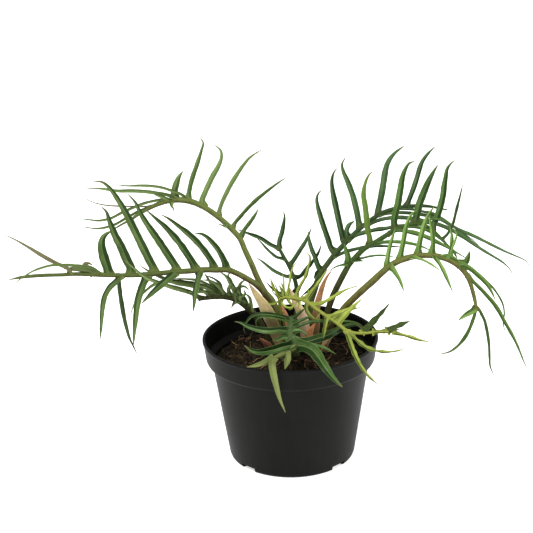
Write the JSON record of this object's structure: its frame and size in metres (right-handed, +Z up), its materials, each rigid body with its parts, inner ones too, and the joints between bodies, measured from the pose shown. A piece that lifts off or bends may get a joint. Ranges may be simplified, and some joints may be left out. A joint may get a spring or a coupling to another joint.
{
  "type": "potted philodendron tortum",
  "caption": "House plant with long arching leaves cut into narrow curved leaflets, in a round tapered nursery pot filled with soil.",
  "frame": {"origin": "middle of the pot's underside, on the surface it stands on", "axes": "+Z up, +X to the right in the picture along the plant's longest spread, -Y to the front"},
  "size_m": [0.4993, 0.1786, 0.3026],
  "materials": {
    "pot_plastic": "satin black moulded plastic",
    "soil": "coarse brown potting mix with fibres and bark chips",
    "crown": "brown-green stem base with dry scars",
    "leaf": "satin green leaf with a paler midrib and edge",
    "young_leaf": "soft satin yellow-green new leaf",
    "leaf_underside": "matt pale green leaf underside",
    "sheath": "papery tan and rose leaf sheath"
  },
  "bodies": {
    "root": {"pot": "pot_plastic", "soil": "soil", "crown_left": "crown", "crown_middle": "crown", "crown_right": "crown", "leaf_left_high": "leaf", "leaf_left_front": "leaf", "leaf_left_low": "leaf", "leaf_middle_back": "leaf", "leaf_right_back": "leaf", "leaf_right_middle": "leaf", "leaf_right_front": "leaf", "leaf_young": "young_leaf", "leaf_front": "leaf", "leaf_front_low": "leaf_underside", "sheath_tan": "sheath", "sheath_salmon": "sheath", "sheath_rose": "sheath", "sheath_beige": "sheath", "sheath_orange": "sheath", "sheath_pink": "sheath", "sheath_straw": "sheath"}
  },
  "joints": []
}
